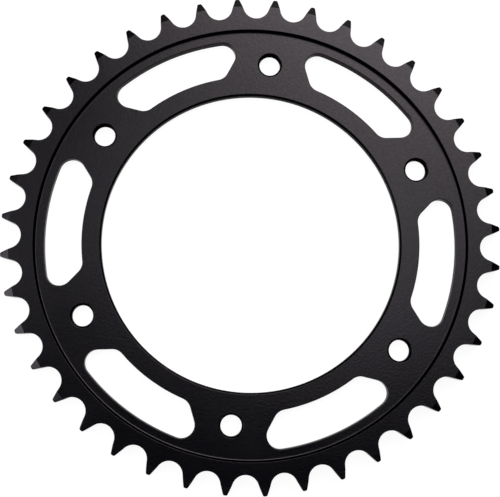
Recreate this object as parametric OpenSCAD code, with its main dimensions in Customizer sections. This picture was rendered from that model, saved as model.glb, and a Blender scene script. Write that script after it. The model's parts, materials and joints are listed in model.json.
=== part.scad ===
// Rear chain sprocket for a motorcycle, one piece of blackened steel.
// The origin is on the bore axis at the flat back face, +Z points out of the recessed front face, and the
// first bolt hole lies on +Y.

/* [Chain] */
// Pitch of the chain, from roller to roller
chain_pitch = 15.875; // [15.5:0.005:17.5]
// Diameter of the chain's rollers
roller_d = 10.16; // [9.5:0.01:10.5]
// Clearance all round between a roller and its seat
seat_clearance = 0.5; // [0.1:0.05:0.7]

/* [Teeth] */
// Number of teeth
teeth = 40; // [38:1:46]
// Angle of the roller seat's arc, measured at the roller's centre
seat_angle = 136; // [128:1:140]
// Radius of the rounded tooth flanks
flank_r = 100; // [60:5:140]
// Height of the tooth tips above the pitch circle
tip_rise = 3.25; // [2.5:0.05:3.6]
// Radius that rounds the two corners of a tooth tip
tip_round = 0.75; // [0.3:0.05:0.9]
// Radial height of the bevel on both sides of the tooth tips
tip_bevel_h = 3.7; // [2:0.1:5]
// Depth of the tip bevel along the axis
tip_bevel_w = 1.6; // [0.5:0.1:2.8]
// Angle from the first bolt hole to the tooth tip beside it
tooth_lead = 0.3; // [0:0.1:4.5]

/* [Ring and centre plate] */
// Width of the tooth ring along the axis
ring_w = 7.2; // [6:0.1:9]
// Radial width of the ring between the tooth roots and the step
ring_h = 5; // [3:0.1:8]
// Depth of the recessed centre plate below the ring's front face
recess = 2.4; // [1:0.1:3.5]
// Lean of the step's wall, which widens towards the front
step_lean = 13; // [0:1:25]
// Radius of the fillet in the corner of the step
step_fillet = 0.65; // [0.3:0.05:2]
// Edge break along the top of the step
step_edge = 0.1; // [0.1:0.05:0.5]

/* [Bore] */
// Diameter of the bore that centres the sprocket on its hub
bore_d = 125; // [110:0.1:132]
// Bevel at both ends of the bore
bore_bevel = 0.8; // [0.2:0.1:1.2]

/* [Bolt holes] */
// Number of bolt holes, with a slot between each two
bolts = 6; // [5:1:8]
// Diameter of the circle through the bolt holes' centres
bolt_circle_d = 152.6; // [146:0.1:158]
// Diameter of the bolts
bolt_d = 8; // [6:0.5:10]
// Clearance between a bolt and its hole, on the diameter
bolt_clearance = 0.8; // [0.4:0.1:1.2]
// Bevel at both ends of a bolt hole
bolt_bevel = 0.8; // [0.2:0.1:1.2]

/* [Slots] */
// Width of the land between the bore and the slots
slot_land = 8.2; // [5:0.1:12]
// Width of the land between the slots and the foot of the step's wall
slot_rim = 3.8; // [3:0.1:8]
// Wall between a bolt hole and the end of a slot
slot_wall = 9.7; // [6:0.1:13]
// Lean of a slot's end wall from the line between centre and bolt hole
slot_lean = 22.3; // [10:0.1:35]
// Radius of the slots' corners
slot_corner = 5.5; // [2:0.1:7]
// Edge break around the slots on both faces
slot_edge = 0.35; // [0.1:0.05:0.6]

/* [Hidden] */
$fa = 1;
$fs = 0.3;

// Overshoot of a cutter past the faces that it cuts
past = 1;
// Depth by which a rounding arc crosses the edge that it blends into
blend = 0.02;
first_hole = 90;

// Tooth form: a roller seat, two rounded flanks and a tip with rounded corners
tooth_step = 360 / teeth;
pitch_r = chain_pitch / 2 / sin(tooth_step / 2);
seat_r = roller_d / 2 + seat_clearance;
root_r = pitch_r - seat_r;
tip_r = pitch_r + tip_rise;
seat_end = seat_angle / 2;
// The flank's centre lies beyond the end of the seat, so that the tooth bulges towards the roller
flank_reach = seat_r + flank_r - blend;
flank_c = [flank_reach * sin(seat_end), pitch_r - flank_reach * cos(seat_end)];
flank_foot = pitch_r - seat_r * cos(seat_end);
// Half the width that the flanks leave of a tooth at its tip, which limits the rounding
tip_corner = meet([0, 0], tip_r, flank_c, flank_r);
tip_half = tip_r * sin(tooth_step / 2 - atan2(tip_corner.x, tip_corner.y));
tip_rounding = min(tip_round, tip_half);
tip_round_c = meet([0, 0], tip_r - tip_rounding, flank_c, flank_r - tip_rounding);

// Turned body
plate_w = ring_w - recess;
step_r = root_r - ring_h;
step_foot_r = step_r - (recess - step_edge) * tan(step_lean);
step_rounding = min(step_fillet, recess - step_edge);
step_round_c = [step_foot_r - step_rounding * (1 - sin(step_lean)) / cos(step_lean), plate_w + step_rounding];
tip_bevel = min(tip_bevel_w, ring_w / 2 - step_edge);
bore_r = bore_d / 2;
bore_edge = min(bore_bevel, plate_w / 3);

// Bolt holes
bolt_circle_r = bolt_circle_d / 2;
hole_r = (bolt_d + bolt_clearance) / 2;
hole_edge = min(bolt_bevel, plate_w / 3);
hole_step = 360 / bolts;

// Slot outline, drawn with its middle on +X
slot_in_r = bore_r + slot_land;
slot_out_r = step_foot_r - slot_rim;
slot_rounding = min(slot_corner, (slot_out_r - slot_in_r) / 2 - past / 2);
slot_end_angle = hole_step / 2 + slot_lean;
slot_end_dir = [cos(slot_end_angle), sin(slot_end_angle)];
slot_end_out = [-slot_end_dir.y, slot_end_dir.x];
near_hole = bolt_circle_r * [cos(hole_step / 2), sin(hole_step / 2)];
// Signed distance of the end wall from the bore axis, along the wall's own normal
slot_end_at = near_hole * slot_end_out - hole_r - slot_wall;
slot_apex = [-slot_end_at / slot_end_dir.y, 0];
slot_reach = slot_out_r * 2;
slot_corner_out = on_line(slot_out_r - slot_rounding);
slot_corner_in = on_line(slot_in_r + slot_rounding);

// The crossing of two circles that lies to the left of the line from the first centre to the second
function meet(c1, r1, c2, r2) =
    let (d = norm(c2 - c1), u = (c2 - c1) / d, along = (r1 * r1 - r2 * r2 + d * d) / (2 * d))
    c1 + along * u + sqrt(r1 * r1 - along * along) * [-u.y, u.x];

// The point at a given radius that lies one corner radius inside a slot's end wall
function on_line(r) =
    let (offset = slot_end_at - slot_rounding)
    offset * slot_end_out + sqrt(r * r - offset * offset) * slot_end_dir;

// What is cut off a corner to round it: the wedge from the arc's centre between two directions, less the arc
module corner_cut(c, r, dir_a, dir_b) {
    reach = 4 * r;
    difference() {
        polygon([c, c + reach * dir_a, c + reach * (dir_a + dir_b), c + reach * dir_b]);
        translate(c) circle(r + blend / 4);
    }
}

// One gap between two teeth, with its middle on +Y
module tooth_gap() {
    half = tip_r * sin(tooth_step / 2) + past;
    translate([0, pitch_r]) circle(seat_r);
    difference() {
        translate([-half, flank_foot]) square([2 * half, tip_r + past / 2 - flank_foot]);
        for (side = [-1, 1])
            translate([side * flank_c.x, flank_c.y]) circle(flank_r);
    }
    to_gap = (tip_round_c - flank_c) / norm(tip_round_c - flank_c);
    to_tip = tip_round_c / norm(tip_round_c);
    for (side = [0, 1])
        mirror([side, 0]) corner_cut(tip_round_c, tip_rounding, to_gap, to_tip);
}

// Outline of one lightening slot, with its middle on +X
module slot_outline() {
    difference() {
        intersection() {
            polygon([slot_apex, slot_apex + slot_reach * slot_end_dir,
                slot_apex + slot_reach * [slot_end_dir.x, -slot_end_dir.y]]);
            difference() {
                circle(slot_out_r);
                circle(slot_in_r);
            }
        }
        for (side = [0, 1])
            mirror([0, side]) {
                corner_cut(slot_corner_out, slot_rounding, slot_end_out, slot_corner_out / norm(slot_corner_out));
                corner_cut(slot_corner_in, slot_rounding, slot_end_out, -slot_corner_in / norm(slot_corner_in));
            }
    }
}

// What breaks the edge of a slot: its outline at the foot of the break, growing at 45 degrees as it rises
module slot_flare() {
    rise = slot_edge + past;
    difference() {
        flare_cone(slot_out_r, 1, slot_edge, rise);
        flare_cone(slot_in_r, -1, 2 * slot_edge, rise + slot_edge);
        for (side = [0, 1])
            mirror([0, side, 0]) {
                translate(slot_apex) rotate(slot_end_angle) rotate([-45, 0, 0])
                    translate([-slot_reach, 0, -slot_reach]) cube(2 * slot_reach);
                flare_corner(slot_corner_out, slot_corner_out / norm(slot_corner_out));
                flare_corner(slot_corner_in, -slot_corner_in / norm(slot_corner_in));
            }
    }
}

// A cone of radius r at the foot of the edge break, which grows or shrinks as it rises
module flare_cone(r, grow, below, above) {
    translate([0, 0, -below])
        cylinder(r1 = r - grow * below, r2 = r + grow * above, h = below + above);
}

// What stays outside one of the rounded corners
module flare_corner(c, dir) {
    below = 2 * slot_edge;
    above = 2 * slot_edge + past;
    reach = 4 * slot_rounding;
    translate([c.x, c.y, 0])
        difference() {
            translate([0, 0, -below]) linear_extrude(below + above)
                polygon([[0, 0], reach * slot_end_out, reach * (slot_end_out + dir), reach * dir]);
            flare_cone(slot_rounding + blend / 4, 1, below + slot_edge, above + slot_edge);
        }
}

module slot_cut() {
    translate([0, 0, -past]) linear_extrude(plate_w + 2 * past) slot_outline();
    translate([0, 0, plate_w - slot_edge]) slot_flare();
    mirror([0, 0, 1]) translate([0, 0, -slot_edge]) slot_flare();
}

// Half section of the turned body, with the radius along X and the axis along Y
module half_section() {
    bevel_r = tip_r - tip_bevel_h;
    polygon([
        [bore_r + bore_edge, 0], [bevel_r, 0],
        [tip_r, tip_bevel], [tip_r, ring_w - tip_bevel],
        [bevel_r, ring_w], [step_r + step_edge, ring_w],
        [step_r, ring_w - step_edge], [step_foot_r, plate_w],
        [bore_r + bore_edge, plate_w], [bore_r, plate_w - bore_edge],
        [bore_r, bore_edge]
    ]);
    // Fillet in the corner between the centre plate and the step
    on_wall = step_round_c + step_rounding * [cos(step_lean), -sin(step_lean)];
    difference() {
        polygon([
            step_round_c, [step_round_c.x, plate_w - past], [on_wall.x + past, plate_w - past],
            on_wall + [past, 0], on_wall
        ]);
        translate(step_round_c) circle(step_rounding + blend / 4);
    }
}

module bolt_hole() {
    translate([0, 0, -past]) cylinder(r = hole_r, h = plate_w + 2 * past);
    bevel_top = hole_r + hole_edge + past;
    translate([0, 0, plate_w - hole_edge]) cylinder(r1 = hole_r, r2 = bevel_top, h = hole_edge + past);
    translate([0, 0, -past]) cylinder(r1 = bevel_top, r2 = hole_r, h = hole_edge + past);
}

module sprocket() {
    color("#2e2c2f")
    rotate(first_hole)
    difference() {
        rotate_extrude() half_section();
        translate([0, 0, -past]) linear_extrude(ring_w + 2 * past)
            for (i = [0 : teeth - 1])
                rotate(tooth_lead + (i + 0.5) * tooth_step - 90) tooth_gap();
        for (i = [0 : bolts - 1])
            rotate((i + 0.5) * hole_step) slot_cut();
        for (i = [0 : bolts - 1])
            rotate(i * hole_step) translate([bolt_circle_r, 0, 0]) bolt_hole();
    }
}

sprocket();
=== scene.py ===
# %% [markdown]
# # A rear sprocket in satin black
#
# The object is the toothed ring that the chain of a motorcycle drives. It is one plate of steel: forty
# teeth on a thick ring, a recessed centre plate with six slots and six bolt holes, and a large bore for
# the hub. The CAD frame comes first. It holds the true size and place, and everything here is modelled
# onto it.

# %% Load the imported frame
import json
import math

import bmesh
import bpy
from mathutils import Matrix, Quaternion, Vector

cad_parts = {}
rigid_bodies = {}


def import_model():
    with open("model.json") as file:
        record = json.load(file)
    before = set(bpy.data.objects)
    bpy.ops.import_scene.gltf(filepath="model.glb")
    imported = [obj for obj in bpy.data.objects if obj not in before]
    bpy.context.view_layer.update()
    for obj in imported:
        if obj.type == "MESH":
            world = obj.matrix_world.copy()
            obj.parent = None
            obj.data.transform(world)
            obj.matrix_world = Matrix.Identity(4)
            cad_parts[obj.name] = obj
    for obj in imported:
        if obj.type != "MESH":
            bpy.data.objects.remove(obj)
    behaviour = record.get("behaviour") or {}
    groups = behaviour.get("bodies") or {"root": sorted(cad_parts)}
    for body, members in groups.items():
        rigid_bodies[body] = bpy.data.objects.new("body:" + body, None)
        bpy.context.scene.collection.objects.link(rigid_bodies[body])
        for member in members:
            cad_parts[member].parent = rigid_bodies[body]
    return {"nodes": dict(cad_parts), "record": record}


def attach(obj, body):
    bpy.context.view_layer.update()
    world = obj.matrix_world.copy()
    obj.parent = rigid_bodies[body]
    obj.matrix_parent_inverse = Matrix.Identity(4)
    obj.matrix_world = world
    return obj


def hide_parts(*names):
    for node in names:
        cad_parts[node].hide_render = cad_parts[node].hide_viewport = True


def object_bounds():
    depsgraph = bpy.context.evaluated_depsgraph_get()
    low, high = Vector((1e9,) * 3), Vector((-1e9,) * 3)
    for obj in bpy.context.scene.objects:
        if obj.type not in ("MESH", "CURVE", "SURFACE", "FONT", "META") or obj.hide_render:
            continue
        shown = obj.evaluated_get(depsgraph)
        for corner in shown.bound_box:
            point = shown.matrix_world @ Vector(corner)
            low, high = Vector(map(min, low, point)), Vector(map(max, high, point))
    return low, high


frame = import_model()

cad_low, cad_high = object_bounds()
cad_node = frame["nodes"]["sprocket"]
print("CAD box in metres:", [round(v, 4) for v in (*cad_low, *cad_high)])

# %% [markdown]
# ## Sizes
#
# A sprocket is drawn from its chain. The pitch and the number of teeth give the pitch circle, and the
# rollers give the seats between the teeth. The other sizes are those of the CAD model, because the
# visible mesh takes its place and has to fill the same space. Only the rounding of the edges is finer.

# %% Driving sizes, in metres
mm = 0.001
chain_pitch = 15.875 * mm
roller_d = 10.16 * mm
seat_clearance = 0.5 * mm
teeth = 40
seat_angle = math.radians(136)
flank_r = 100 * mm
tip_rise = 3.25 * mm
tip_round = 0.75 * mm
tip_bevel_h = 3.7 * mm
tip_bevel_w = 1.6 * mm
tooth_lead = math.radians(0.3)
ring_w = cad_high.z - cad_low.z
ring_h = 5 * mm
recess = 2.4 * mm
step_lean = math.radians(13)
step_fillet = 0.65 * mm
step_edge = 0.1 * mm

mounts = {mount["name"]: mount["dims"] for mount in frame["record"]["mounts"]}
bore_r = mounts["bore"]["r_mm"] * mm
bolt_circle_r = mounts["bolts"]["pcd_mm"] / 2 * mm
bolt_holes = mounts["bolts"]["count"]
bolt_hole_r = mounts["bolts"]["hole_r_mm"] * mm
bore_bevel = 0.8 * mm
bolt_bevel = 0.8 * mm

slot_land = 8.2 * mm
slot_rim = 3.8 * mm
slot_wall = 9.7 * mm
slot_lean = math.radians(22.3)
slot_corner = 5.5 * mm

# %% Sizes that follow from them
tooth_step = math.tau / teeth
hole_step = math.tau / bolt_holes
pitch_r = chain_pitch / 2 / math.sin(tooth_step / 2)
seat_r = roller_d / 2 + seat_clearance
root_r = pitch_r - seat_r
tip_r = pitch_r + tip_rise
bevel_r = tip_r - tip_bevel_h
step_r = root_r - ring_h
step_foot_r = step_r - (recess - step_edge) * math.tan(step_lean)
plate_w = ring_w - recess
slot_in_r = bore_r + slot_land
slot_out_r = step_foot_r - slot_rim
print("pitch circle", round(2 * pitch_r / mm, 1), "mm, tips", round(2 * tip_r / mm, 1), "mm across")

# %% Softened edges and the level strip below the step, in metres, and a hair to tell points apart
tooth_edge_r = 0.18 * mm
slot_edge_r = 0.36 * mm
bolt_soft = 0.06 * mm
bore_soft = 0.1 * mm
step_soft = 0.04 * mm
level_strip = 0.5 * mm
hair = 0.002 * mm
print("tooth edges rounded by", round(tooth_edge_r / mm, 2), "mm")

# %% How many steps draw each round stretch
seat_steps = 16
flank_steps = 6
tip_flank_steps = 5
tip_round_steps = 5
tip_steps = 2
fillet_steps = 8
slot_out_steps = 24
slot_in_steps = 16
out_corner_steps = 14
in_corner_steps = 10
bolt_hole_steps = 72
bore_steps = 288
print("steps round the bore:", bore_steps)

# %% [markdown]
# ## Camera
#
# The photograph looks down on the sprocket from almost straight above, a little from below its centre,
# with a long lens. The place and turn were found by laying the tooth outline, the slots and the bore over
# the picture. The small shift keeps the off-centre crop of the picture.

# %% Camera at the photograph's viewing angle
camera_place = Vector((-11.8, -57.6, 479.0)) * mm
camera_turn = [math.radians(angle) for angle in (6.741, -1.043, 6.217)]
camera_data = bpy.data.cameras.new("camera")
camera_data.sensor_width = 36
camera_data.lens = 82.36
camera_data.shift_x = 0.0429
camera_data.shift_y = -0.0135
camera = bpy.data.objects.new("camera", camera_data)
camera.location = camera_place
camera.rotation_euler = camera_turn
bpy.context.scene.collection.objects.link(camera)
bpy.context.scene.camera = camera
print("camera", round(camera_place.length, 3), "m from the middle of the back face")

# %% [markdown]
# ## Outlines that know their own normal
#
# Every edge of a machined plate is broken a little, and that thin edge is what catches the light. A Bevel
# modifier would do it, but on faces full of long thin triangles it tears. Here each outline is drawn from
# arcs, and every point keeps the direction that leads out of the steel. A row that is set back by any
# distance is then exact, so a rounded edge is only a few rows, each set back a little more and lying a
# little higher.

# %% Arcs, and where they meet
def ray_at(angle):
    return Vector((math.cos(angle), math.sin(angle)))


def angle_to(centre, point):
    return math.atan2(point.y - centre.y, point.x - centre.x)


def arc(centre, radius, start, stop, steps, hollow=False):
    """Points along an arc, each with the normal that leads out of the steel."""
    out = -1 if hollow else 1
    rays = [ray_at(start + (stop - start) * i / steps) for i in range(steps + 1)]
    return [(centre + radius * ray, out * ray) for ray in rays]


def meet(centre, radius, other, other_r):
    """The crossing of two circles to the left of the line from the first centre to the second."""
    span = (other - centre).length
    ahead = (other - centre) / span
    along = (radius ** 2 - other_r ** 2 + span ** 2) / (2 * span)
    return centre + along * ahead + math.sqrt(radius ** 2 - along ** 2) * Vector((-ahead.y, ahead.x))


# %% Outlines turned into rows of points
def mirrored(outline, flip=(-1, 1)):
    """The outline flipped from left to right, or by other signs, in the reverse order."""
    flip = Vector(flip)
    return [(point * flip, normal * flip) for point, normal in outline[::-1]]


def set_back(outline, distance):
    """The outline moved into the steel."""
    return [point - distance * normal for point, normal in outline]


def level(points, height):
    """Points of the plane, all at one height."""
    return [Vector((point.x, point.y, height)) for point in points]


def lift(points, height_at, offset=0):
    """Points of the plane raised to a height that depends on the radius."""
    return [Vector((point.x, point.y, height_at(point.length) + offset)) for point in points]


# %% Edges: how far each row is set back, and how deep it lies below the face
def rounded_edge(radius, steps=3):
    """A quarter circle from the face to the wall."""
    turns = [math.pi / 2 * i / steps for i in range(steps + 1)]
    return [(radius * (1 - math.sin(turn)), radius * (1 - math.cos(turn))) for turn in turns]


def bevelled_edge(width, soft):
    """A bevel of 45 degrees whose two corners are eased."""
    ease = soft * math.sqrt(0.5)
    return [(width + soft, 0), (width - ease, ease), (ease, width - ease), (0, width + soft)]


tooth_edge = rounded_edge(tooth_edge_r)
slot_edge = rounded_edge(slot_edge_r)
bolt_edge = bevelled_edge(bolt_bevel, bolt_soft)
bore_edge = bevelled_edge(bore_bevel, bore_soft)
print("rows on a tooth edge:", len(tooth_edge), "and on a bevel:", len(bore_edge))

# %% [markdown]
# ## Sheets
#
# The walls are made as a modeller lays a sheet: a grid primitive with as many columns as the outline has
# points, laid onto the rows. One tooth pitch, one slot and one bolt hole are made this way, and each is
# then spun round the axis in copies.

# %% Lay a grid onto rows of points
def lay_sheet(name, rows):
    bpy.ops.object.select_all(action="DESELECT")
    bpy.ops.mesh.primitive_grid_add(
        x_subdivisions=len(rows[0]) - 1, y_subdivisions=len(rows) - 1, size=1)
    sheet = bpy.context.object
    sheet.name = name
    places = [point for row in rows for point in row]
    for vertex, place in zip(sheet.data.vertices, places, strict=True):
        vertex.co = place
    return sheet


# %% Join, weld and spin sheets
def join(name, sheets):
    bpy.ops.object.select_all(action="DESELECT")
    for sheet in sheets:
        sheet.select_set(True)
    bpy.context.view_layer.objects.active = sheets[0]
    bpy.ops.object.join()
    sheets[0].name = name
    return sheets[0]


def weld(piece):
    bpy.context.view_layer.objects.active = piece
    bpy.ops.object.mode_set(mode="EDIT")
    bpy.ops.mesh.select_all(action="SELECT")
    bpy.ops.mesh.remove_doubles(threshold=hair)
    bpy.ops.object.mode_set(mode="OBJECT")


def spin_copies(piece, first, count):
    """Turns a piece to its first place, then copies it round the axis."""
    piece.data.transform(Matrix.Rotation(first, 4, "Z"))
    bpy.context.view_layer.objects.active = piece
    bpy.ops.object.mode_set(mode="EDIT")
    bpy.ops.mesh.select_all(action="SELECT")
    bpy.ops.mesh.spin(steps=count - 1, dupli=True, angle=math.tau * (count - 1) / count,
        center=(0, 0, 0), axis=(0, 0, 1))
    bpy.ops.object.mode_set(mode="OBJECT")


# %% [markdown]
# ## One tooth pitch
#
# Half a gap runs from the bottom of the roller seat, up the flank, to the middle of the tooth's tip: four
# arcs that run into each other. On both sides of the plate the tips are turned off at a slant, so the
# chain's side plates find their way over them. The slant starts on a circle, and one column of points
# lies exactly on it, so that the crease between face and slant is a real edge.

# %% Where the four arcs of half a gap meet, with the middle of the gap on +Y
origin = Vector((0, 0))
seat_c = Vector((0, pitch_r))
seat_end = seat_angle / 2 - math.pi / 2
flank_c = seat_c + (seat_r + flank_r) * ray_at(seat_end)
tip_round_c = meet(origin, tip_r - tip_round, flank_c, flank_r - tip_round)
crease = meet(origin, bevel_r, flank_c, flank_r - tooth_edge_r)
crease_at = angle_to(flank_c, crease)
flank_end = angle_to(flank_c, tip_round_c)
tip_start = angle_to(origin, tip_round_c)
tooth_middle = math.pi / 2 - tooth_step / 2
print("the slant starts", round((tip_r - crease.length) / mm, 2), "mm below the tip")

# %% The outline of one pitch
half_gap = arc(seat_c, seat_r, -math.pi / 2, seat_end, seat_steps, hollow=True)
half_gap += arc(flank_c, flank_r, seat_end + math.pi, crease_at, flank_steps)[1:]
half_tip = arc(flank_c, flank_r, crease_at, flank_end, tip_flank_steps)
half_tip += arc(tip_round_c, tip_round, flank_end, tip_start, tip_round_steps)[1:]
half_tip += arc(origin, tip_r, tip_start, tooth_middle, tip_steps)[1:]
half_pitch = half_gap + half_tip[1:]
pitch_outline = mirrored(half_pitch) + half_pitch[1:]
print(len(pitch_outline), "points along one tooth pitch")


# %% The tooth walls with their rounded edges
def front_z(radius):
    """Height of the ring's front: flat, then slanting down towards the tips."""
    return ring_w - max(0, radius - bevel_r) * tip_bevel_w / tip_bevel_h


def back_z(radius):
    return ring_w - front_z(radius)


wall_rows = [lift(set_back(pitch_outline, inset), front_z, -depth) for inset, depth in tooth_edge]
wall_rows += [lift(set_back(pitch_outline, inset), back_z, depth) for inset, depth in tooth_edge[::-1]]
tooth_walls = lay_sheet("tooth_walls", wall_rows)
print("tooth walls:", len(tooth_walls.data.polygons), "faces on one pitch")


# %% The slanted tips, front and back
def tip_cap(half, middle, height_at):
    """Half a tip's slanted face, between the outline and the tooth's middle line."""
    rim = set_back(half, tooth_edge_r)
    spine = [point.length * ray_at(middle) for point in rim]
    return lay_sheet("tip_cap", [lift(rim, height_at), lift(spine, height_at)])


tip_caps = []
for height_at in (front_z, back_z):
    tip_caps.append(tip_cap(half_tip, tooth_middle, height_at))
    tip_caps.append(tip_cap(mirrored(half_tip), math.pi - tooth_middle, height_at))
print("tips:", len(tip_caps), "slanted halves on one pitch")

# %% [markdown]
# ## Ring, step and recess
#
# Inside the teeth the ring runs flat to a turned step, whose wall leans a little, as a lathe tool leaves
# it, and runs out in a small fillet onto the centre plate. The ring's face follows the outline of the gap
# on its outside and is a circle on its inside, so the sheet's columns run straight in along the radius,
# and the step's section is only more rows of the same sheet. The last row already lies flat on the plate,
# so that the plate's own face starts on level ground and shades evenly.

# %% Section of the step, from the ring's face down to the plate
step_rows = [(step_r + inset, ring_w - depth) for inset, depth in bevelled_edge(step_edge, step_soft)]
fillet_r = step_foot_r - step_fillet * (1 - math.sin(step_lean)) / math.cos(step_lean)
fillet_z = plate_w + step_fillet
for i in range(fillet_steps + 1):
    turn = step_lean + (math.pi / 2 - step_lean) * i / fillet_steps
    step_rows.append((fillet_r + step_fillet * math.cos(turn), fillet_z - step_fillet * math.sin(turn)))
step_rows.append((fillet_r - level_strip, plate_w))
print("step:", len(step_rows), "rows, foot at", round(2 * fillet_r / mm, 1), "mm across")

# %% The ring's two faces
gap_rim = set_back(mirrored(half_gap) + half_gap[1:], tooth_edge_r)
gap_rim = [bevel_r * ray_at(math.pi - tooth_middle), *gap_rim, bevel_r * ray_at(tooth_middle)]
rays = [point.normalized() for point in gap_rim]
front_rows = [lift(gap_rim, front_z)]
front_rows += [level([radius * ray for ray in rays], height) for radius, height in step_rows]
back_rows = [lift(gap_rim, back_z), level([fillet_r * ray for ray in rays], 0)]
ring_faces = [lay_sheet("ring_front", front_rows), lay_sheet("ring_back", back_rows)]
print("ring:", sum(len(sheet.data.polygons) for sheet in ring_faces), "faces on one pitch")

# %% One pitch, spun into forty and welded
toothed_ring = join("toothed_ring", [tooth_walls, *tip_caps, *ring_faces])
spin_copies(toothed_ring, tooth_lead + tooth_step / 2, teeth)
weld(toothed_ring)
print("toothed ring:", len(toothed_ring.data.polygons), "faces")

# %% [markdown]
# ## Slots
#
# Six slots take weight out of the plate. Each is a band between two circles, closed by two straight end
# walls that lean away from the bolt holes, with four rounded corners. The centre of each corner is where
# the circle and the wall, both set in by the corner's radius, cross.

# %% The end wall of a slot and its two corners, with the middle of the slot on +X
end_along = ray_at(hole_step / 2 + slot_lean)
end_out = Vector((-end_along.y, end_along.x))
near_hole = bolt_circle_r * ray_at(hole_step / 2)
end_at = near_hole.dot(end_out) - bolt_hole_r - slot_wall


def corner_centre(radius):
    offset = end_at - slot_corner
    return offset * end_out + math.sqrt(radius ** 2 - offset ** 2) * end_along


outer_c = corner_centre(slot_out_r - slot_corner)
inner_c = corner_centre(slot_in_r + slot_corner)
outer_turn = angle_to(origin, outer_c)
inner_turn = angle_to(origin, inner_c)
end_turn = angle_to(origin, end_out)
print("the line of an end wall passes", round(abs(end_at) / mm, 1), "mm from the axis")

# %% Half a slot, from the middle of its outer wall to the middle of its inner wall
half_slot = arc(origin, slot_out_r, 0, outer_turn, slot_out_steps, hollow=True)
half_slot += arc(outer_c, slot_corner, outer_turn, end_turn, out_corner_steps, hollow=True)[1:]
half_slot += arc(inner_c, slot_corner, end_turn, inner_turn + math.pi, in_corner_steps, hollow=True)
half_slot += arc(origin, slot_in_r, inner_turn, 0, slot_in_steps)[1:]
slot_outline = half_slot + mirrored(half_slot, flip=(1, -1))[1:]
print(len(slot_outline), "points round a slot")


# %% Walls of an opening in the plate
def opening(name, outline, edge):
    rows = [level(set_back(outline, inset), plate_w - depth) for inset, depth in edge]
    rows += [level(set_back(outline, inset), depth) for inset, depth in edge[::-1]]
    return lay_sheet(name, rows)


slots = opening("slots", slot_outline, slot_edge)
spin_copies(slots, math.pi / 2 + hole_step / 2, bolt_holes)
print("slots:", bolt_holes, "of", round((slot_out_r - slot_in_r) / mm, 1), "mm in width")

# %% [markdown]
# ## Bolt holes and bore
#
# Both are plain round holes with a turned bevel at each mouth. The bolt circle and the radii come from
# the record's mounts, so the holes are where the hub's bolts are.

# %% Round holes
hole_circle = arc(Vector((bolt_circle_r, 0)), bolt_hole_r, 0, math.tau, bolt_hole_steps, hollow=True)
holes = opening("holes", hole_circle, bolt_edge)
spin_copies(holes, math.pi / 2, bolt_holes)
bore_circle = arc(origin, bore_r, 0, math.tau, bore_steps, hollow=True)
bore = opening("bore", bore_circle, bore_edge)
print("bore", round(2 * bore_r / mm, 1), "mm, bolt circle", round(2 * bolt_circle_r / mm, 1), "mm")

# %% [markdown]
# ## One closed body
#
# What is still open are the two flat faces of the plate. The edges of each lie in one plane, an outer
# circle with thirteen holes in it, and the fill operator closes such a face in one go.

# %% Join and weld
body = join("sprocket_body", [toothed_ring, slots, holes, bore])
weld(body)
print(body.name, "before the fill:", len(body.data.polygons), "faces")


# %% Fill the two faces of the plate
def edit_only(piece, kind, wanted):
    """Opens a piece in edit mode with only the wanted edges or faces selected."""
    bpy.context.view_layer.objects.active = piece
    bpy.ops.object.mode_set(mode="EDIT")
    bpy.ops.mesh.select_mode(type=kind)
    bpy.ops.mesh.select_all(action="DESELECT")
    mesh = bmesh.from_edit_mesh(piece.data)
    for item in mesh.edges if kind == "EDGE" else mesh.faces:
        item.select_set(wanted(item))
    bmesh.update_edit_mesh(piece.data)


def fill_plane(piece, height):
    """Fills the flat face that the open edges at one height enclose."""
    def open_there(edge):
        return edge.is_boundary and all(abs(vertex.co.z - height) < hair for vertex in edge.verts)

    edit_only(piece, "EDGE", open_there)
    bpy.ops.mesh.fill(use_beauty=True)
    bpy.ops.object.mode_set(mode="OBJECT")


fill_plane(body, plate_w)
fill_plane(body, 0)
print(body.name, "after the fill:", len(body.data.polygons), "faces")

# %% Turn the normals out and measure the body against the CAD solid
bpy.ops.object.mode_set(mode="EDIT")
bpy.ops.mesh.select_all(action="SELECT")
bpy.ops.mesh.normals_make_consistent(inside=False)
bpy.ops.object.mode_set(mode="OBJECT")
cubic_cm = (10 * mm) ** 3


def measure(piece):
    """Open edges and volume in cubic centimetres, on a welded copy."""
    mesh = bmesh.new()
    mesh.from_mesh(piece.data)
    bmesh.ops.remove_doubles(mesh, verts=mesh.verts, dist=hair)
    open_edges = sum(not edge.is_manifold for edge in mesh.edges)
    volume = mesh.calc_volume() / cubic_cm
    mesh.free()
    return open_edges, round(volume, 2)


print("body: open edges, volume", measure(body))
print("CAD:  open edges, volume", measure(cad_node))

# %% [markdown]
# ## Shading
#
# The rounded edges are shaded smooth, while the crease at the foot of each tip stays sharp. Where a flat
# face meets the rows of a rounded edge, plain smooth shading would bend the flat's reflection too. So the
# flat faces are marked as strong, and weighted normals let them win: the flats stay flat right up to
# their edge.

# %% Where a face turns into the slant of a tip
corner, corner_out = half_tip[0]
crease_places = []
for inset, depth in tooth_edge:
    radius = (corner - inset * corner_out).length
    crease_places.append(Vector((radius, front_z(radius) - depth)))
    crease_places.append(Vector((radius, back_z(radius) + depth)))


def on_crease(vertex):
    place = Vector((vertex.co.xy.length, vertex.co.z))
    return any((place - spot).length < hair for spot in crease_places)


def is_crease(edge):
    """True along the crease, also where it runs down through the tooth's rounded edge."""
    first, last = edge.verts
    one_side = abs(first.co.z - last.co.z) < tip_bevel_w
    return one_side and on_crease(first) and on_crease(last)


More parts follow.
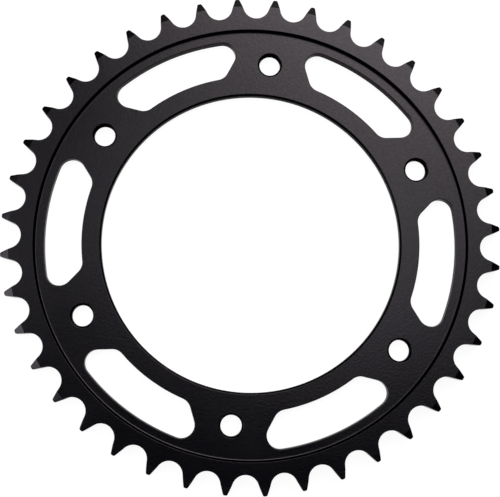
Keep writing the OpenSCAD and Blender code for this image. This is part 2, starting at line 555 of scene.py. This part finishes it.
# %% Smooth edges and sharp creases
sharp_from = math.radians(40)
bpy.ops.object.select_all(action="DESELECT")
body.select_set(True)
bpy.context.view_layer.objects.active = body
bpy.ops.object.shade_smooth_by_angle(angle=sharp_from)
edit_only(body, "EDGE", is_crease)
bpy.ops.mesh.mark_sharp()
bpy.ops.object.mode_set(mode="OBJECT")
print("sharp edges:", sum(edge.use_edge_sharp for edge in body.data.edges))

# %% Strong flats and weighted normals
flat_slope = 0.99999
edit_only(body, "FACE", lambda face: abs(face.normal.z) > flat_slope)
bpy.ops.mesh.mod_weighted_strength(set=True, face_strength="STRONG")
bpy.ops.object.mode_set(mode="OBJECT")
weighted = body.modifiers.new("weighted_normals", "WEIGHTED_NORMAL")
weighted.keep_sharp = True
weighted.use_face_influence = True
bpy.ops.object.modifier_apply(modifier="weighted_normals")
print("strong flat faces:", sum(face.select for face in body.data.polygons))

# %% Tie the body to the frame
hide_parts("sprocket")
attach(body, "root")
print(body.name, "stands for the CAD node sprocket")

# %% [markdown]
# ## Blackened steel
#
# The steel is blackened: a thin dark layer grown on the metal. It could be a black paint with a coat of
# varnish, but the real layer shows no colour of its own, only a dim mirror image of the lamps. So it is a
# very dark metal, whose base colour is what it mirrors straight on. Blasting before the bath left a grain
# of about a millimetre, which shows in the height and as a faint speckle in the colour. Handling left
# wider smudges, and those are in the gloss.

# %% The layer with its speckle, smudges and grain
dark_tone = (0.0302, 0.0271, 0.0294)
light_tone = (0.0373, 0.0329, 0.0350)
grain_height = 0.04 * mm


def grey(value):
    return (value, value, value, 1.0)


def blackened(name, depth, tint):
    """Blackened steel. A higher depth and a darker tint paint shade: a blacker base, less glancing glare.
    """
    material = bpy.data.materials.new(name)
    material.use_nodes = True
    nodes = material.node_tree.nodes
    links = material.node_tree.links
    shader = nodes["Principled BSDF"]
    shader.inputs["Metallic"].default_value = 1.0
    shader.inputs["Specular Tint"].default_value = grey(tint)
    place = nodes.new("ShaderNodeTexCoord")

    def noise(scale, detail, roughness=0.5):
        node = nodes.new("ShaderNodeTexNoise")
        node.inputs["Scale"].default_value = scale
        node.inputs["Detail"].default_value = detail
        node.inputs["Roughness"].default_value = roughness
        links.new(place.outputs["Object"], node.inputs["Vector"])
        return node

    def spread(source, low, high, socket):
        """Lets a noise run between two colours or greys, into a socket of the shader."""
        node = nodes.new("ShaderNodeValToRGB")
        node.color_ramp.elements[0].position = 0.3
        node.color_ramp.elements[1].position = 0.7
        node.color_ramp.elements[0].color = low
        node.color_ramp.elements[1].color = high
        links.new(source.outputs["Fac"], node.inputs["Fac"])
        links.new(node.outputs["Color"], shader.inputs[socket])

    dark = [value / depth for value in dark_tone]
    light = [value / depth for value in light_tone]
    speckle = noise(scale=900, detail=2)
    spread(speckle, (*dark, 1.0), (*light, 1.0), "Base Color")
    smudges = noise(scale=45, detail=4, roughness=0.6)
    spread(smudges, grey(0.2), grey(0.24), "Roughness")
    grain = noise(scale=1000, detail=2)
    bump = nodes.new("ShaderNodeBump")
    bump.inputs["Strength"].default_value = 0.8
    bump.inputs["Distance"].default_value = grain_height
    links.new(grain.outputs["Fac"], bump.inputs["Height"])
    links.new(bump.outputs["Normal"], shader.inputs["Normal"])
    return material


# %% [markdown]
# ## Faces, and painted shade on walls and edges
#
# The faces and the teeth are blasted and keep their sheen at a glancing angle. On the walls of the slots
# and the bore, the glancing reflection is painted darker: painted shade in place of the shadowed table
# they would mirror. The step's wall, the bore's bevels and the bolt holes are painted deep black, with a
# base colour four times darker and no glancing reflection: painted shade in these recesses and on these
# edges.
# One material with masks could do it, but three plain ones are simpler, and the faces are picked by
# their place and slope.

# %% One finish and two with painted shade
finishes_and_shades = [
    blackened("blasted_black", depth=1, tint=1.0),
    blackened("painted_wall_shade_black", depth=1, tint=0.4),
    blackened("painted_shade_black", depth=4, tint=0.0),
]
blasted, painted_wall_shade, painted_deep_shade = range(len(finishes_and_shades))
body.data.materials.clear()
for finish_or_shade in finishes_and_shades:
    body.data.materials.append(finish_or_shade)
print("finishes:", [finish_or_shade.name for finish_or_shade in finishes_and_shades])

# %% Give each face its finish or its painted shade
bolt_places = [bolt_circle_r * ray_at(math.pi / 2 + hole_step * i) for i in range(bolt_holes)]
hole_rim = bolt_hole_r + bolt_bevel
bore_rim = bore_r + bore_bevel
wall_slope = 0.3
fillet_slope = 0.87
bevel_slopes = (0.1, 0.9)


def finish_or_shade_of(face):
    """Picks by place and by slope, which is 1 on a level face and 0 on an upright wall."""
    spot = face.center.xy
    radius = spot.length
    slope = abs(face.normal.z)
    in_hole = min((spot - place).length for place in bolt_places) < hole_rim
    on_step = fillet_r < radius < step_r and slope < fillet_slope and face.center.z > plate_w
    on_lip = radius < bore_rim and bevel_slopes[0] < slope < bevel_slopes[1]
    # Bolt holes, the step's wall and the bore's bevels get the deep black of painted shade.
    if in_hole or on_step or on_lip:
        return painted_deep_shade
    # Slot walls and the bore's wall get painted shade on their glancing reflection.
    return painted_wall_shade if slope < wall_slope and radius < step_r else blasted


for face in body.data.polygons:
    face.material_index = finish_or_shade_of(face)
counts = [sum(face.material_index == i for face in body.data.polygons) for i in (blasted, painted_wall_shade, painted_deep_shade)]
print("faces in each finish:", counts)

# %% [markdown]
# ## Floor
#
# The part lies on its back face on a white table. To the camera, and in reflections, the table is mostly
# white of its own, as in a picture on a white ground, and a share of plain diffuse white on top keeps the
# part's soft shadow. It could also be lit until it is white, but then the black steel above it would turn
# grey.

# %% White table
table_r = 4
bpy.ops.object.select_all(action="DESELECT")
bpy.ops.mesh.primitive_circle_add(
    vertices=128, radius=table_r, fill_type="NGON", location=(0, 0, cad_low.z))
table = bpy.context.object
table.name = "table"
print("table", round(table.dimensions.x, 1), "m across")

# %% Its white: plain diffuse white, and beside it a glow with a share of diffuse white
white = bpy.data.materials.new("white_table")
white.use_nodes = True
nodes = white.node_tree.nodes
links = white.node_tree.links
plain = nodes.new("ShaderNodeBsdfDiffuse")
plain.inputs["Color"].default_value = grey(0.8)
glow = nodes.new("ShaderNodeEmission")
glow.inputs["Color"].default_value = grey(1.0)
glow.inputs["Strength"].default_value = 0.93
lit = nodes.new("ShaderNodeBsdfDiffuse")
lit.inputs["Color"].default_value = grey(0.15)
seen = nodes.new("ShaderNodeAddShader")
links.new(glow.outputs["Emission"], seen.inputs[0])
links.new(lit.outputs["BSDF"], seen.inputs[1])
print("the table's own glow:", round(glow.inputs["Strength"].default_value, 2))

# %% The camera and reflections see the glow, all other light meets the plain white
path = nodes.new("ShaderNodeLightPath")
either = nodes.new("ShaderNodeMath")
either.operation = "MAXIMUM"
links.new(path.outputs["Is Camera Ray"], either.inputs[0])
links.new(path.outputs["Is Glossy Ray"], either.inputs[1])
choice = nodes.new("ShaderNodeMixShader")
links.new(either.outputs["Value"], choice.inputs["Fac"])
links.new(plain.outputs["BSDF"], choice.inputs[1])
links.new(seen.outputs["Shader"], choice.inputs[2])
links.new(choice.outputs["Shader"], nodes["Material Output"].inputs["Surface"])
table.data.materials.append(white)
print("floor material:", white.name)

# %% [markdown]
# ## Light
#
# Black steel shows little more than what it mirrors, so the lamps are large and stand where their image
# falls into the picture. The top box stands behind the part's upper right and paints the grey that fades
# out towards the bottom. The left box shows only where the steel leans that way, on the slanted tips and
# the edges, and the narrow front card does the same for the lowest tips. The overhead box is weak and
# lifts the plate on both sides of the bore. It and the left box are a little cooler. The room is nearly
# dark, as a black part needs, with a dim band at the horizon, which keeps the walls readable from the
# side.

# %% A soft box
def soft_box(name, place, width, height, roll, radiance, colour=(1.0, 1.0, 1.0)):
    """An area lamp that faces the part, brightest in its middle. Its power follows from its size."""
    data = bpy.data.lights.new(name, "AREA")
    data.shape = "ELLIPSE"
    data.size = width
    data.size_y = height
    data.energy = radiance * math.pi * (math.pi * width * height / 4)
    data.color = colour
    data.use_nodes = True
    nodes = data.node_tree.nodes
    links = data.node_tree.links
    across = nodes.new("ShaderNodeNewGeometry")
    centred = nodes.new("ShaderNodeVectorMath")
    centred.operation = "DISTANCE"
    centred.inputs[1].default_value = (0.5, 0.5, 0.0)
    links.new(across.outputs["Parametric"], centred.inputs[0])
    fade = nodes.new("ShaderNodeMapRange")
    fade.interpolation_type = "SMOOTHSTEP"
    fade.inputs["From Min"].default_value = 0.5
    fade.inputs["From Max"].default_value = 0.0
    links.new(centred.outputs["Value"], fade.inputs["Value"])
    links.new(fade.outputs["Result"], nodes["Emission"].inputs["Strength"])
    lamp = bpy.data.objects.new(name, data)
    lamp.location = place
    turn = (-Vector(place)).to_track_quat("-Z", "Y") @ Quaternion((0, 0, 1), math.radians(roll))
    lamp.rotation_euler = turn.to_euler()
    bpy.context.scene.collection.objects.link(lamp)
    return lamp


def over(azimuth, off_axis, distance):
    """The point seen from the part at an azimuth and at an angle off its axis, in degrees."""
    flat = distance * math.sin(math.radians(off_axis))
    spot = flat * ray_at(math.radians(azimuth))
    return (spot.x, spot.y, distance * math.cos(math.radians(off_axis)))


# %% Three boxes and a card
cool_white = (0.92, 0.96, 1.0)
lamps = [
    soft_box("top_box", over(75.4, 39.6, 0.88),
        width=1.08, height=1.55, roll=78.9, radiance=5.08),
    soft_box("left_box", over(191.9, 48.3, 0.88),
        width=1.5, height=0.92, roll=-58.8, radiance=3.8, colour=cool_white),
    soft_box("front_card", over(276.3, 43.9, 1.0),
        width=1.5, height=0.25, roll=-2.5, radiance=2.6),
    soft_box("overhead_box", over(60.1, 7.8, 0.88),
        width=0.81, height=0.39, roll=22.8, radiance=2.14, colour=cool_white),
]
print("lamps:", [lamp.name for lamp in lamps])

# %% Dim room, from the horizon up
world = bpy.data.worlds.new("dim_room")
bpy.context.scene.world = world
world.use_nodes = True
nodes = world.node_tree.nodes
links = world.node_tree.links
sky = nodes["Background"]
sky.inputs["Strength"].default_value = 1.0
direction = nodes.new("ShaderNodeTexCoord")
upward = nodes.new("ShaderNodeSeparateXYZ")
links.new(direction.outputs["Generated"], upward.inputs["Vector"])
room = nodes.new("ShaderNodeValToRGB")
room.color_ramp.interpolation = "EASE"
room.color_ramp.elements[0].position = 0.0
room.color_ramp.elements[0].color = grey(0.3)
room.color_ramp.elements[1].position = 0.36
room.color_ramp.elements[1].color = (0.00875, 0.00875, 0.035, 1.0)
links.new(upward.outputs["Z"], room.inputs["Fac"])
links.new(room.outputs["Color"], sky.inputs["Color"])
bpy.context.scene.view_settings.view_transform = "Standard"
print("room:", world.name)
